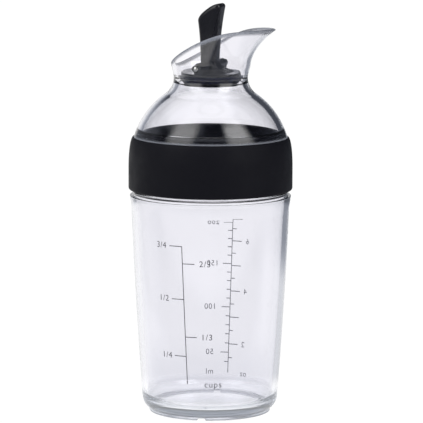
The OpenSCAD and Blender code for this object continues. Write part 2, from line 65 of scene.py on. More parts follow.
# Dome, neck and spout.
DOME_STEP, DOME_SINK, DOME_WALL, SKIRT_INSET = 0.2, 9.7, 2.6, 1.35
WAIST_R, WAIST_CURVE_R = 15.8, 8.5
BORE_WALL, BORE_DROP, JOIN_DROP, SPOUT_WALL = 1.8, 2.4, 0.2, 1.7
SIDE_FLARE, SIDE_FLARE_H, BACK_RIM_H = 1.2, 6.2, 5.55
TIP_RISE, TIP_REACH, LIP_START_H, LIP_POWER = 16.1, 12.0, 5.1, 1.75
LIP_NARROW_LOW, LIP_NARROW_HIGH, RIM_BOW, RIM_CREST = 4.5, 10.0, 0.46, 0.6
# Pin, stopper and seal.
PIN_R, PIN_RISE, PIN_RECESS, PIN_CLEARANCE, PIN_SEAT_GAP = 1.5, 5.0, 0.5, 0.05, 0.02
PLATE_GAP, PLATE_T, PLATE_DROP, GROOVE_DEPTH, GROOVE_H = 1.3, 1.3, 2.4, 1.8, 3.3
FLANGE_GAP, FLANGE_T, FLANGE_TAPER = 1.7, 1.5, 0.7
LIP_GAP, LIP_T, LIP_RISE, SEAL_FOOT_GAP, SEAL_PLAY = 0.15, 0.4, 2.35, 1.9, 0.05
SWING_GAP = 0.12
# Lever.
BARREL_R, BARREL_GAP, STEM_BACK, STEM_FRONT = 2.2, 1.5, 4.05, 3.4
STEM_HALF_W, PAD_HALF_W, PAD_BACK, PAD_FRONT, PAD_POWER = 3.05, 4.25, 1.05, 2.3, 1.8
LEVER_H, TOP_SLOPE, TOP_BOW, TOP_DROOP, PAD_EDGE_R, LEVER_SQUARE = 24.7, 0.72, 0.4, 1.9, 1.65, 4.0
FOOT_MARGIN, FOOT_BACK, FOOT_SIDE, FOOT_RISE, FOOT_POWER = 1.1, 1.4, 5.6, 5.6, 2.5

# ---------------------------------------------------------------- sizes of the scene alone
# The cup's inner shoulder starts higher than the solid's and ends lower, because the photo shows no
# dark ring bent into view under the top band.
SHOULDER_START, SHOULDER_END = 5.7, 1.8
# The seal's soft lip is drawn pressed out to this far from the bore.
PRESSED_GAP = 0.02
# Height of the elliptical dome on each end of the pin, and where its last row stops, in degrees.
PIN_CROWN, PIN_LAST_ROW = 0.7, 84
# Widths over which the satin and painted shade of the slanted lip and the haze and painted light of
# the weld fade out.
SATIN_W, SEAM_W = 1.6, 0.8
# Share of haze on the outside of the cup's foot, how far above the corner it ends, and the height
# over which it fades out.
FOOT_HAZE, FOOT_HAZE_RISE, FOOT_HAZE_FADE = 0.5, 4.5, 3.5
# Run-out at both ends of a thread, in degrees, and the width of a drain notch's eased edge.
THREAD_FADE, DRAIN_EASE = 40, 0.5
# Height of the lid's thread above the hard ring's lead-in.
LID_THREAD_RISE = 0.3
# Points round a turned piece, and the angle between faces up to which a piece is shaded smooth.
AROUND = 256
SHADE_ANGLE = 35.0

# ---------------------------------------------------------------- radii and heights from the above
FOOT_R = BASE_R - FOOT_INSET
FOOT_IN_R = FOOT_R - FOOT_RING_W
HOLLOW_R = FOOT_IN_R - HOLLOW_H
BAND_R = TOP_R + BAND_FLARE
LEDGE_R = BAND_R - LEDGE_INSET
NECK_R = LEDGE_R - NECK_INSET
NECK_IN_R = NECK_R - NECK_WALL
CORE_IN_R = NECK_R + THREAD_D + THREAD_GAP
CORE_R = CORE_IN_R + CORE_WALL
COLLAR_R = CORE_R + GRIP_T
GASKET_R = NECK_R + GASKET_REACH
SKIRT_R = CORE_R - SKIRT_INSET
DOME_R = math.hypot(COLLAR_R - CROWN_DROP - DOME_STEP, DOME_SINK)
BORE_R = WAIST_R - BORE_WALL
PLATE_R = BORE_R - PLATE_GAP
FLANGE_R = BORE_R - FLANGE_GAP
SPOOL_R = FLANGE_R - GROOVE_DEPTH
SEAL_FOOT_R = BORE_R - SEAL_FOOT_GAP
BARREL_HALF = BORE_R - BARREL_GAP
FOOT_FRONT = PLATE_R - FOOT_MARGIN - STEM_FRONT

CORNER_Z = FOOT_H + CORNER_R - CORNER_CUT
FLOOR_Z = HOLLOW_H + FLOOR_T
SHOULDER_LOW_Z = CUP_H + SHOULDER_START
BAND_TOP_Z = CUP_H + BAND_H
NECK_Z = BAND_TOP_Z + LEDGE_H
RIM_Z = NECK_Z + NECK_H
CEILING_Z = RIM_Z + GASKET_T
COLLAR_Z = BAND_TOP_Z + COLLAR_GAP
CORE_Z = COLLAR_Z + GRIP_LIP_H
SHOULDER_Z = CEILING_Z + CEILING_T
SEAM_Z = COLLAR_Z + COLLAR_H
UPSTAND_Z = SEAM_Z + UPSTAND_H
DOME_Z = SEAM_Z - DOME_SINK
WAIST_Z = DOME_Z + math.sqrt((DOME_R + WAIST_CURVE_R) ** 2 - (WAIST_R + WAIST_CURVE_R) ** 2)
WAIST_TILT = math.degrees(math.atan2(WAIST_Z - DOME_Z, WAIST_R + WAIST_CURVE_R))
BORE_Z = WAIST_Z - BORE_DROP
PIN_Z = WAIST_Z + PIN_RISE
JOIN_Z = PIN_Z - PIN_R - PIN_SEAT_GAP - JOIN_DROP
BACK_RIM_Z = WAIST_Z + BACK_RIM_H
RECESS_Z = UPSTAND_Z + UPSTAND_TOP_GAP
RECESS_R = (
    math.sqrt((DOME_R - DOME_WALL) ** 2 - (RECESS_Z - DOME_Z) ** 2) + UPSTAND_STEP + UPSTAND_GAP
)
UPSTAND_R = RECESS_R - UPSTAND_GAP
PLATE_Z = PIN_Z - PLATE_DROP
ROOT_Z = PLATE_Z - PLATE_T / 2
GROOVE_Z = PLATE_Z - PLATE_T - GROOVE_H
LIP_Z = GROOVE_Z + SEAL_PLAY + LIP_RISE
SWING_R = math.hypot(BORE_R - LIP_GAP, PIN_Z - LIP_Z) + SWING_GAP
RELIEF_Z = PIN_Z - math.sqrt(SWING_R**2 - BORE_R**2)
THREAD_Z = NECK_Z + NECK_ROOT + THREAD_ROOT / 2 + THREAD_START_H
LID_THREAD_Z = CORE_Z + LEAD_IN + THREAD_ROOT / 2 + LID_THREAD_RISE
LID_START = (LID_THREAD_Z - THREAD_Z + THREAD_LEAD / 2) * 360 / THREAD_LEAD

# The camera stands at this azimuth. One printed scale faces it and the other turns away from it.
CAMERA_AZIMUTH = 24.0


# ---------------------------------------------------------------- meshes
def arc(centre, radius, start, end, steps):
    """Points centre + radius * (cos a, sin a), with a evenly spaced from start to end degrees."""
    a = np.radians(np.linspace(start, end, steps + 1))
    return np.stack([centre[0] + radius * np.cos(a), centre[1] + radius * np.sin(a)], -1)


def run(start, end, steps):
    """Evenly spaced points on the straight line from start to end."""
    t = np.linspace(0, 1, steps + 1)[:, None]
    return np.array(start, float) * (1 - t) + np.array(end, float) * t


def eased(points, cuts, steps):
    """A closed outline whose corner k is the parabola (1-t)^2 s + 2t(1-t) p + t^2 e, where s and e
    lie cuts[k] back along its two sides. One more point on each side, half a cut further on, keeps
    the flats flat when shaded."""
    p = np.array(points, float)
    cut = np.array(cuts, float)[:, None]
    back, ahead = np.roll(p, 1, 0) - p, np.roll(p, -1, 0) - p
    back /= np.linalg.norm(back, axis=1)[:, None]
    ahead /= np.linalg.norm(ahead, axis=1)[:, None]
    s, e = p + back * cut, p + ahead * cut
    t = np.linspace(0, 1, steps + 1)[None, :, None]
    bend = (1 - t) ** 2 * s[:, None] + 2 * t * (1 - t) * p[:, None] + t**2 * e[:, None]
    before, after = (s + back * cut / 2)[:, None], (e + ahead * cut / 2)[:, None]
    return np.concatenate([before, bend, after], 1).reshape(-1, 2)


def apart(outline, closed=True):
    """The outline without points that repeat the one before them."""
    step = np.linalg.norm(outline - np.roll(outline, 1, 0), axis=1)
    if not closed:
        step[0] = 1
    return outline[step > 1e-4]


def turned(outline, around=AROUND):
    """Each outline point (r, z) carried round the axis: (r cos a, r sin a, z) over evenly spaced
    angles a."""
    a = np.linspace(0, 2 * math.pi, around, endpoint=False)[None, :]
    r, z = outline[:, :1], outline[:, 1:]
    return np.stack([r * np.cos(a), r * np.sin(a), z + 0 * a], -1)


def quads(rows, around, looped):
    """Faces between neighbouring rows j, j+1 and columns i, i+1, with columns counted round, and
    rows too if looped."""
    j, i = np.meshgrid(np.arange(rows if looped else rows - 1), np.arange(around), indexing="ij")
    j2, i2 = (j + 1) % rows, (i + 1) % around
    corners = [j * around + i, j * around + i2, j2 * around + i2, j2 * around + i]
    return np.stack(corners, -1).reshape(-1, 4)


def shell(grid, poles=None):
    """Points and faces of a closed skin over a grid of rows and columns. Rows close on themselves,
    and without poles the last row meets the first. poles are the two points that the first and the
    last row close on."""
    rows, around = grid.shape[:2]
    points = grid.reshape(-1, 3)
    faces = quads(rows, around, poles is None).tolist()
    if poles is not None:
        i = np.arange(around)
        i2, last, low = (i + 1) % around, (rows - 1) * around, rows * around
        faces += np.stack([i2, i, np.full(around, low)], -1).tolist()
        faces += np.stack([last + i, last + i2, np.full(around, low + 1)], -1).tolist()
        points = np.concatenate([points, np.array(poles, float)])
    return points, faces


def joined(*shells):
    """Several skins as the points and faces of one mesh."""
    points, faces, count = [], [], 0
    for p, f in shells:
        points.append(p)
        faces += [[k + count for k in face] for face in f]
        count += len(p)
    return np.concatenate(points), faces


def piece(name, skin, material, body, replaced=()):
    """A mesh object at the origin from points in millimetres, shaded smooth up to SHADE_ANGLE,
    riding on a body."""
    points, faces = skin
    mesh = bpy.data.meshes.new(name)
    mesh.from_pydata((points * MM).tolist(), [], faces)
    mesh.validate()
    mesh.shade_smooth()
    mesh.set_sharp_from_angle(angle=math.radians(SHADE_ANGLE))
    mesh.materials.append(material)
    made = bpy.data.objects.new(name, mesh)
    bpy.context.scene.collection.objects.link(made)
    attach(made, body)
    if replaced:
        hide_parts(*replaced)
    return made


def smooth(t):
    """0 below t = 0, 1 above t = 1, and 3t^2 - 2t^3 between."""
    u = np.clip(t, 0, 1)
    return u * u * (3 - 2 * u)


def cup_side(z):
    """The cup's outer radius: a straight taper over its height plus a bow of 4 b t (1 - t)."""
    t = np.maximum((z - CORNER_Z) / (CUP_H - CORNER_Z), 0)
    return BASE_R + (TOP_R - BASE_R) * t + 4 * BOW * t * (1 - t)


def thread_height(degrees, z, start, turns, low_z):
    """How far a helical ridge stands out at an angle and height: a trapezium across the helix
    low_z + lead * A / 360, for A from start to start + 360 * turns, faded out at both ends."""
    out = np.zeros(np.broadcast(degrees, z).shape)
    for k in range(-1, 4):
        along = degrees + 360 * k
        inside = np.clip(np.minimum(along - start, start + 360 * turns - along) / THREAD_FADE, 0, 1)
        off = np.abs(z - low_z - THREAD_LEAD * along / 360)
        ridge = np.clip((THREAD_ROOT / 2 - off) / (THREAD_ROOT / 2 - THREAD_CREST / 2), 0, 1)
        out = np.maximum(out, THREAD_D * smooth(ridge) * smooth(inside))
    return out


def pushed(grid, degrees, out):
    """The turned grid with its points moved outwards by out."""
    grid[..., 0] += out * np.cos(np.radians(degrees))
    grid[..., 1] += out * np.sin(np.radians(degrees))
    return grid


def cup_outline():
    """The cup's outline from the middle of its underside, up the outside and down the inside."""
    inner_z = FLOOR_Z + FLOOR_CORNER_R
    inner_base = cup_side(inner_z) - CUP_WALL
    floor_r = inner_base - FLOOR_CORNER_R
    middle_r = 1.0
    under = run((middle_r, HOLLOW_H), (HOLLOW_R - 1.2, HOLLOW_H), 5)
    # Only the eased corners of the foot and of the band are kept: the runs beside them have their
    # own points.
    foot = eased(
        [(0, HOLLOW_H), (HOLLOW_R, HOLLOW_H), (FOOT_IN_R, 0), (FOOT_R, 0), (FOOT_R, FOOT_H),
         (BASE_R, CORNER_Z)],
        [0, 0.5, 0.4, 0.4, 0.12, 0], 5,
    )
    above, within = foot[:, 1] < FOOT_H + 0.2, foot[:, 0] < FOOT_R + 0.1
    foot = foot[above & within & (foot[:, 0] > HOLLOW_R - 1)]
    corner_a = -math.degrees(math.asin((CORNER_Z - FOOT_H) / CORNER_R))
    corner = arc((BASE_R - CORNER_R, CORNER_Z), CORNER_R, corner_a, 0, 16)
    z = np.linspace(CORNER_Z, CUP_H, 40)
    side = np.stack([cup_side(z), z], -1)[1:]
    band = eased(
        [(TOP_R, CUP_H), (BAND_R, BAND_TOP_Z), (LEDGE_R, BAND_TOP_Z), (LEDGE_R, NECK_Z),
         (NECK_R, NECK_Z + 0.6)],
        [0, 0.35, 0.2, 0.3, 0.0], 5,
    )
    band = band[(band[:, 1] > CUP_H + BAND_H / 4) & (band[:, 0] > NECK_R + 0.5)]
    rim_z = RIM_Z - RIM_ROUND
    neck = run((NECK_R, NECK_Z + 0.8), (NECK_R, rim_z), 60)
    rim = [
        arc((NECK_R - RIM_ROUND, rim_z), RIM_ROUND, 0, 90, 6),
        arc((NECK_IN_R + RIM_ROUND, rim_z), RIM_ROUND, 90, 180, 6),
    ]
    t = np.linspace(1, 0, 26)
    wide = cup_side(SHOULDER_LOW_Z) - CUP_WALL
    drop = NECK_Z + SHOULDER_END - SHOULDER_LOW_Z
    shoulder = np.stack([wide + (NECK_IN_R - wide) * smooth(t), SHOULDER_LOW_Z + drop * t], -1)
    z = np.linspace(SHOULDER_LOW_Z, inner_z, 40)[1:]
    inner = np.stack([cup_side(z) - CUP_WALL, z], -1)
    floor = arc((floor_r, inner_z), FLOOR_CORNER_R, 0, -90, 14)[1:]
    flat = run((floor_r, FLOOR_Z), (middle_r, FLOOR_Z), 6)[1:]
    runs = [under, foot, corner, side, band, neck, *rim, shoulder, inner, floor, flat]
    return apart(np.concatenate(runs), False)


def cup_skin():
    """The turned cup. Its standing ring is lifted over the drain notches, and its neck is pushed
    out along the thread."""
    outline = cup_outline()
    grid = turned(outline, 2 * AROUND)
    a = np.linspace(0, 360, 2 * AROUND, endpoint=False)[None, :]
    r, z = outline[:, :1], outline[:, 1:]
    on_neck = (r > NECK_R - 0.01) & (z > NECK_Z + 0.7) & (z < RIM_Z - 0.7)
    grid = pushed(grid, a, thread_height(a, z, 0, THREAD_TURNS, THREAD_Z) * on_neck)
    far = 1e9
    across = np.full(a.shape, far)
    for notch in DRAIN_ANGLES:
        turn = np.radians(a - notch)
        beside = np.where(np.cos(turn) > 0, np.abs(np.sin(turn)) * FOOT_R, far)
        across = np.minimum(across, beside)
    lift = DRAIN_H * (1 - smooth((across - DRAIN_W / 2 + DRAIN_EASE / 2) / DRAIN_EASE))
    low = (z < DRAIN_H) & (r > HOLLOW_R) & (r < BASE_R)
    grid[..., 2] = np.where(low, np.maximum(grid[..., 2], lift), grid[..., 2])
    return shell(grid, [(0, 0, HOLLOW_H), (0, 0, FLOOR_Z)])


def foot_share(points):
    """Where the cup is hazy: FOOT_HAZE on the outside of the standing ring and of its corner, faded
    out above the corner and in the hollow under the cup."""
    r, z = np.hypot(points[:, 0], points[:, 1]), points[:, 2]
    outside = (r > BASE_R - 2.0) | (z < FLOOR_Z - 1.5)
    low = smooth((CORNER_Z + FOOT_HAZE_RISE - z) / FOOT_HAZE_FADE)
    return FOOT_HAZE * outside * low * smooth((r - FOOT_R + FOOT_RING_W + 1.0) / 1.5)


def round_r(z):
    """Radius of the spout's back and sides: the waist plus a smooth flare."""
    return WAIST_R + SIDE_FLARE * smooth((z - WAIST_Z) / SIDE_FLARE_H)


def wall_top(a):
    """Height where the spout's wall passes into its rounded edge: rise * c (1 + b (1 - c)), with
    c = (1 + cos a) / 2."""
    c = (1 + np.cos(a)) / 2
    return BACK_RIM_Z + TIP_RISE * c * (1 + RIM_BOW * (1 - c)) - RIM_CREST


def spout_r(a, z):
    """Outer radius of the spout: the round flare plus reach * t^power * c^narrow, with t the share
    of the height climbed."""
    lip_h = BACK_RIM_H + TIP_RISE - RIM_CREST - LIP_START_H
    t = np.clip((z - WAIST_Z - LIP_START_H) / lip_h, 0, 1)
    narrow = LIP_NARROW_LOW + (LIP_NARROW_HIGH - LIP_NARROW_LOW) * t
    return round_r(z) + TIP_REACH * t**LIP_POWER * ((1 + np.cos(a)) / 2) ** narrow


def relief_r(z):
    """The least radius inside the neck: the bore, then the sphere that the stopper's lip swings
    on."""
    ball = np.sqrt(np.maximum(SWING_R**2 - (PIN_Z - z) ** 2, 0))
    return np.where(z < RELIEF_Z, BORE_R, np.where(z > PIN_Z, SWING_R, ball))


def spout_in_r(a, z):
    """Inner radius: the wall times sqrt(1 + slope^2) inside the outer one, and never less than the
    relief."""
    e = 0.05
    slope = (spout_r(a, z + e) - spout_r(a, z - e)) / (2 * e)
    return np.maximum(spout_r(a, z) - SPOUT_WALL * np.sqrt(1 + slope**2), relief_r(z))


def dome_skin():
    """Dome, neck and spout as one skin. Turned rows run up the outside, rows between the neck and
    the slanted edge follow spout_r, half an ellipse rounds the edge, and the same rows come back
    down inside."""
    curve_c = (WAIST_R + WAIST_CURVE_R, WAIST_Z)
    inner_r, inner_curve = DOME_R - DOME_WALL, WAIST_CURVE_R + DOME_WALL
    start_a = math.degrees(math.asin(DOME_SINK / DOME_R))
    bore_a = 180 + math.degrees(math.asin(BORE_DROP / inner_curve))
    recess_a = math.degrees(math.asin((RECESS_Z - DOME_Z) / inner_r))
    z = np.linspace(WAIST_Z, JOIN_Z, 8)[1:]
    neck = np.stack([round_r(z), z], -1)
    # Of the skirt's eased outline only its two lower corners are kept, 7 points each.
    skirt = [(RECESS_R, RECESS_Z), (RECESS_R, SHOULDER_Z), (SKIRT_R, SHOULDER_Z), (SKIRT_R, SEAM_Z)]
    outer = np.concatenate([
        eased(skirt, [0.1, 0.1, 0.2, 0.2], 4)[7:-7],
        run((SKIRT_R, SHOULDER_Z + 0.6), (SKIRT_R, SEAM_Z - 0.2), 2),
        arc((0, DOME_Z), DOME_R, start_a, WAIST_TILT, 60),
        arc(curve_c, WAIST_CURVE_R, 180 + WAIST_TILT, 180, 24)[1:],
        neck,
    ])
    z = np.linspace(JOIN_Z, RELIEF_Z, 10)[1:]
    inner_neck = np.stack([spout_in_r(math.pi, z), z], -1)
    inner = np.concatenate([
        inner_neck,
        run((BORE_R, RELIEF_Z - 0.3), (BORE_R, BORE_Z + 0.25), 3),
        arc(curve_c, inner_curve, bore_a, 180 + WAIST_TILT, 24)[1:],
        arc((0, DOME_Z), inner_r, WAIST_TILT, recess_a, 60)[1:],
        run((RECESS_R + 0.4, RECESS_Z), (RECESS_R, RECESS_Z - 0.4), 1),
        run((RECESS_R, RECESS_Z - 1), (RECESS_R, SHOULDER_Z + 0.5), 2),
    ])
    a = np.linspace(0, 2 * math.pi, AROUND, endpoint=False)[None, :]
    # The rows lie closer together towards the edge.
    crowding = 0.25
    v = np.linspace(0, 1, 42)[1:, None]
    v = v * (1 - crowding * v) / (1 - crowding)
    top = wall_top(a)
    z = JOIN_Z + (top - JOIN_Z) * v
    out_r, in_r = spout_r(a, z), spout_in_r(a, z)
    turn = np.linspace(0, math.pi, 10)[1:-1, None]
    mid, half = (out_r[-1:] + in_r[-1:]) / 2, (out_r[-1:] - in_r[-1:]) / 2
    rows_r = np.concatenate([out_r, mid + half * np.cos(turn), in_r[::-1]])
    rows_z = np.concatenate([z, top + RIM_CREST * np.sin(turn), z[::-1]])
    spout = np.stack([rows_r * np.cos(a), rows_r * np.sin(a), rows_z], -1)
    inner_join = turned(np.array([[float(spout_in_r(math.pi, JOIN_Z)), JOIN_Z]]))
    return shell(np.concatenate([turned(outer), spout, inner_join, turned(inner)]))


def edge_share(points):
    """Where the dome and spout are hazy, which with the dome's dark haze colour is painted shade
    along the slanted lip and a painted line of light at the weld: 1 on the slanted lip and 0 from
    SATIN_W below it, and 1 on the weld to the grip, fading over SEAM_W beside it."""
    a, r = np.arctan2(points[:, 1], points[:, 0]), np.hypot(points[:, 0], points[:, 1])
    z = points[:, 2]
    lip = smooth(1 - (wall_top(a) - z) / SATIN_W)
    weld = smooth(1.3 - np.abs(z - SEAM_Z) / SEAM_W) * (r > SKIRT_R - 0.6)
    return np.maximum(lip, weld)


def core_skin():
    """The hard ring: a turned outline whose inner wall is pushed in along the lid's thread."""
    upstand_in_r = UPSTAND_R - UPSTAND_T
    points = [
        (CORE_R, CORE_Z), (CORE_R, SHOULDER_Z), (UPSTAND_R, SHOULDER_Z), (UPSTAND_R, UPSTAND_Z),
        (upstand_in_r, UPSTAND_Z), (upstand_in_r, CEILING_Z), (CORE_IN_R, CEILING_Z),
        (CORE_IN_R, CORE_Z + LEAD_IN), (CORE_IN_R + LEAD_IN, CORE_Z),
    ]
    outline = eased(points, [0.1, 0.1, 0.1, 0.35, 0.35, 0.3, 0.1, 0.15, 0.15], 5)
    # The wall's own rows go in after the last point of the corner under the ceiling.
    by_wall = outline[:, 0] < CORE_IN_R + 0.01
    inside = np.flatnonzero(by_wall & (np.abs(outline[:, 1] - CEILING_Z + 0.15) < 0.02))[-1]
    wall = run((CORE_IN_R, CEILING_Z - 0.3), (CORE_IN_R, CORE_Z + 0.9), 56)
    outline = apart(np.concatenate([outline[: inside + 1], wall, outline[inside + 1 :]]))
    a = np.linspace(0, 360, AROUND, endpoint=False)[None, :]
    r, z = outline[:, :1], outline[:, 1:]
    on_wall = (np.abs(r - CORE_IN_R) < 0.01) & (z < CEILING_Z - 0.2)
    depth = thread_height(a, z, LID_START, LID_TURNS, THREAD_Z - THREAD_LEAD / 2) * on_wall
    return shell(pushed(turned(outline), a, -depth))


def grip_skin():
    """The soft grip: straight sides, a quarter-ellipse crown, a rounded lower edge and the lip that
    wraps under the ring."""
    lip_in, seam_ease, lip_ease, skirt_gap = CORE_R - GRIP_LIP_W, 0.3, 0.15, 0.05
    h = CROWN_H * np.linspace(1, 0, 30) ** 1.6
    crown = COLLAR_R - CROWN_DROP * (1 - np.sqrt(1 - (1 - h / CROWN_H) ** 2))
    bottom_c = (COLLAR_R - GRIP_BOTTOM_R, COLLAR_Z + GRIP_BOTTOM_R)
    inner = SKIRT_R + skirt_gap
    outline = np.concatenate([
        [(lip_in + lip_ease, COLLAR_Z), (COLLAR_R - GRIP_BOTTOM_R - 0.3, COLLAR_Z)],
        arc(bottom_c, GRIP_BOTTOM_R, -90, 0, 8),
        [(COLLAR_R, COLLAR_Z + 2)],
        np.stack([crown, SEAM_Z - h], -1)[:-1],
        arc((crown[-1] - seam_ease, SEAM_Z - seam_ease), seam_ease, 20, 90, 4),
        [(SKIRT_R + 0.2, SEAM_Z), (inner, SEAM_Z - 0.15), (inner, SHOULDER_Z)],
        [(CORE_R, SHOULDER_Z), (CORE_R, CORE_Z), (lip_in, CORE_Z), (lip_in, COLLAR_Z + lip_ease)],
    ])
    return shell(turned(apart(outline)))


def gasket_skin():
    """The flat rim gasket with eased edges."""
    inner = NECK_IN_R - GASKET_OVERLAP
    corners = [(GASKET_R, RIM_Z), (GASKET_R, CEILING_Z), (inner, CEILING_Z), (inner, RIM_Z)]
    return shell(turned(eased(corners, [0.35] * 4, 4)))


def pin_skin():
    """The steel pin: a bar turned about its line along y, whose ends are domed as an ellipse,
    r = R cos t and y = half - crown + crown sin t."""
    half = float(round_r(PIN_Z)) - PIN_RECESS
    t = np.radians(np.linspace(0, PIN_LAST_ROW, 15))
    face = np.stack([PIN_R * np.cos(t), half - PIN_CROWN + PIN_CROWN * np.sin(t)], -1)
    top = np.concatenate([run((PIN_R, 0), (PIN_R, half - PIN_CROWN - 0.1), 4), face])
    outline = np.concatenate([np.stack([top[:0:-1, 0], -top[:0:-1, 1]], -1), top])
    grid = turned(apart(outline, False), 64)
    laid = np.stack([grid[..., 1], grid[..., 2], grid[..., 0] + PIN_Z], -1)
    return shell(laid, [(0, -half, PIN_Z), (0, half, PIN_Z)])


def lever_section(v, inset, lift):
    """Sections of the stem and thumb pad at shares v of the height: superellipses whose half axes
    swell to the pad and flare to the bell-shaped foot, with the height following the slanted
    top."""
    h = PIN_Z + LEVER_H - ROOT_Z
    bell = np.clip(1 - v * h / FOOT_RISE, 0, 1) ** FOOT_POWER
    swell = np.clip((v * h - FOOT_RISE) / (h - FOOT_RISE), 0, 1) ** PAD_POWER
    front = STEM_FRONT + PAD_FRONT * swell + FOOT_FRONT * bell
    back = STEM_BACK + PAD_BACK * swell + FOOT_BACK * bell
    half_w = STEM_HALF_W + (PAD_HALF_W - STEM_HALF_W) * swell + FOOT_SIDE * bell
    t = np.linspace(0, 2 * math.pi, 96, endpoint=False)[None, :]
    px = np.sign(np.cos(t)) * np.abs(np.cos(t)) ** (2 / LEVER_SQUARE)
    py = np.sign(np.sin(t)) * np.abs(np.sin(t)) ** (2 / LEVER_SQUARE)
    reach, mid = (front + back) / 2, (front - back) / 2
    x = mid + (reach - inset) * px
    y = half_w * (1 - inset / reach) * py
    bow = TOP_BOW * (x / (STEM_BACK + PAD_BACK)) ** 2
    droop = TOP_DROOP * (x / (STEM_FRONT + PAD_FRONT)) ** 2
    bend = np.where(x < 0, bow, droop)
    z = ROOT_Z + v * (h - PAD_EDGE_R + TOP_SLOPE * x - bend) + lift
    return np.stack([x, y, z + 0 * x], -1)


def stem_skin():
    """The lever's stem and thumb pad, with the pad's rounded edge and its slightly crowned top."""
    v = np.linspace(0, 1, 90)[:, None] ** 1.2
    body = lever_section(v, 0, 0)
    a = np.radians(np.linspace(0, 90, 9))[1:, None]
    inset, lift = PAD_EDGE_R * (1 - np.cos(a)), PAD_EDGE_R * np.sin(a)
    edge = lever_section(np.ones_like(a), inset, lift)
    reach = (STEM_FRONT + PAD_FRONT + STEM_BACK + PAD_BACK) / 2
    share = np.linspace(1, 0.04, 12)[1:, None]
    inset = reach - (reach - PAD_EDGE_R) * share
    cap = lever_section(np.ones_like(share), inset, PAD_EDGE_R)
    grid = np.concatenate([body, edge, cap])
    return shell(grid, [grid[0].mean(0), grid[-1].mean(0)])


def spool_skin():
    """The round plate and the spool under it that carries the seal."""
    flange_z, middle_r, under_z = GROOVE_Z - FLANGE_T, 0.4, PLATE_Z - PLATE_T
    spool = eased(
        [(middle_r, flange_z), (FLANGE_R - FLANGE_TAPER, flange_z), (FLANGE_R, GROOVE_Z),
         (SPOOL_R, GROOVE_Z), (SPOOL_R, under_z), (PLATE_R, under_z), (PLATE_R, PLATE_Z),
         (middle_r, PLATE_Z)],
        [0.1, 0.4, 0.2, 0.2, 0.2, 0.15, 0.4, 0.1], 5,
    )
    # The outline's inner side is left out, and the rows close on the middle instead.
    spool = spool[spool[:, 0] > middle_r + 0.15]
    return shell(turned(spool, 160), [(0, 0, flange_z), (0, 0, PLATE_Z)])


def barrel_skin():
    """The barrel round the pin: round above, and squared below where it passes into the plate."""
    t = np.linspace(0, 2 * math.pi, 72, endpoint=False)
    foot = ROOT_Z - PIN_Z
    ring = np.stack([BARREL_R * np.cos(t), BARREL_R * np.sin(t)], -1)
    low = ring[:, 1] < 0
    ring[low, 1] = np.maximum(ring[low, 1] / BARREL_R, -1) * -foot
    squared = (1 - np.abs(ring[low, 1] / foot) ** 4) ** 0.25
    ring[low, 0] = np.sign(ring[low, 0]) * BARREL_R * squared
    bore = (PIN_R + PIN_CLEARANCE) * np.stack([np.cos(t), np.sin(t)], -1)
    bevel = np.array([[0.3, 0.0], [0.09, 0.09], [0.0, 0.3]])
    rows = []
    for end, order in ((-1, 1), (1, -1)):
        for cut, back in bevel[::order]:
            rows.append((ring * (1 - cut / BARREL_R), end * (BARREL_HALF - back)))
    rows += [(bore, BARREL_HALF), (bore, -BARREL_HALF)]
    grid = [np.stack([r[:, 0], np.full(len(t), y), r[:, 1] + PIN_Z], -1) for r, y in rows]
    return shell(np.array(grid)[:, ::-1])


def seal_skin():
    """The soft seal: a turned ring in the spool's groove whose thin lip leans out and up to the
    bore."""
    low, high = GROOVE_Z + SEAL_PLAY, PLATE_Z - PLATE_T - SEAL_PLAY
    lip = BORE_R - PRESSED_GAP
    inner = SPOOL_R + SEAL_PLAY
    outline = eased(
        [(inner, low), (SEAL_FOOT_R, low), (lip, LIP_Z), (lip, LIP_Z + LIP_T), (SEAL_FOOT_R, high),
         (inner, high)],
        [0.1, 0.5, 0.15, 0.15, 0.4, 0.1], 6,
    )
    return shell(turned(outline, 192))


# ---------------------------------------------------------------- printed scales
FRONT, BACK = 0, 1
INK_LIFT, INK_T, LINE_W = 0.015, 0.03, 0.34
# Height of a capital letter as a share of the font's size, and the room between letters.
CAPITAL_SHARE, LETTER_SPACING = 0.7, 1.12
CUP_ML, OUNCE_ML = 236.6, 29.57
# Height of a mark for v millilitres: c0 + c1 v + c2 v^2, fitted to a filled cup; each scale has its
# own start.
FRONT_FILL = (1.92, 0.4607, -0.000262)
BACK_FILL = (-1.03, 0.4247, -0.000178)
# A scale's long line: its lower end's height and angle, and how many degrees it leans over a rise.
FRONT_LINE = (16.25, -18.5, 2.66, 59.2)
BACK_LINE = (10.9, -16.5, 1.75, 67.8)


def on_cup(u, z, side, lift):
    """A point of the cup's outside at u degrees to the right of the scale's middle, as its reader
    sees it, and height z."""
    a = math.radians(CAMERA_AZIMUTH)
    right, out = np.array([math.cos(a), math.sin(a)]), np.array([math.sin(a), -math.cos(a)])
    if side == BACK:
        right, out = -right, -out
    r = (cup_side(z) + lift)[..., None]
    t = np.radians(u)[..., None]
    xy = r * (np.sin(t) * right + np.cos(t) * out)
    return np.concatenate([xy, (z + 0 * u)[..., None]], -1)


def stroke(start, end, side, steps):
    """A printed line: a strip of quads between two (degrees, height) points, LINE_W wide across its
    direction."""
    t = np.linspace(0, 1, steps + 1)
    u, z = start[0] + (end[0] - start[0]) * t, start[1] + (end[1] - start[1]) * t
    per_degree = np.radians(1) * cup_side(z)
    along = np.array([(end[0] - start[0]) * per_degree.mean(), end[1] - start[1]])
    across = np.array([-along[1], along[0]]) / np.linalg.norm(along) * LINE_W / 2
    edges = [
        on_cup(u + s * across[0] / per_degree, z + s * across[1], side, INK_LIFT) for s in (1, -1)
    ]
    i = np.arange(steps)
    faces = np.stack([i, i + steps + 1, i + steps + 2, i + 1], -1)
    return np.concatenate(edges), faces.tolist()


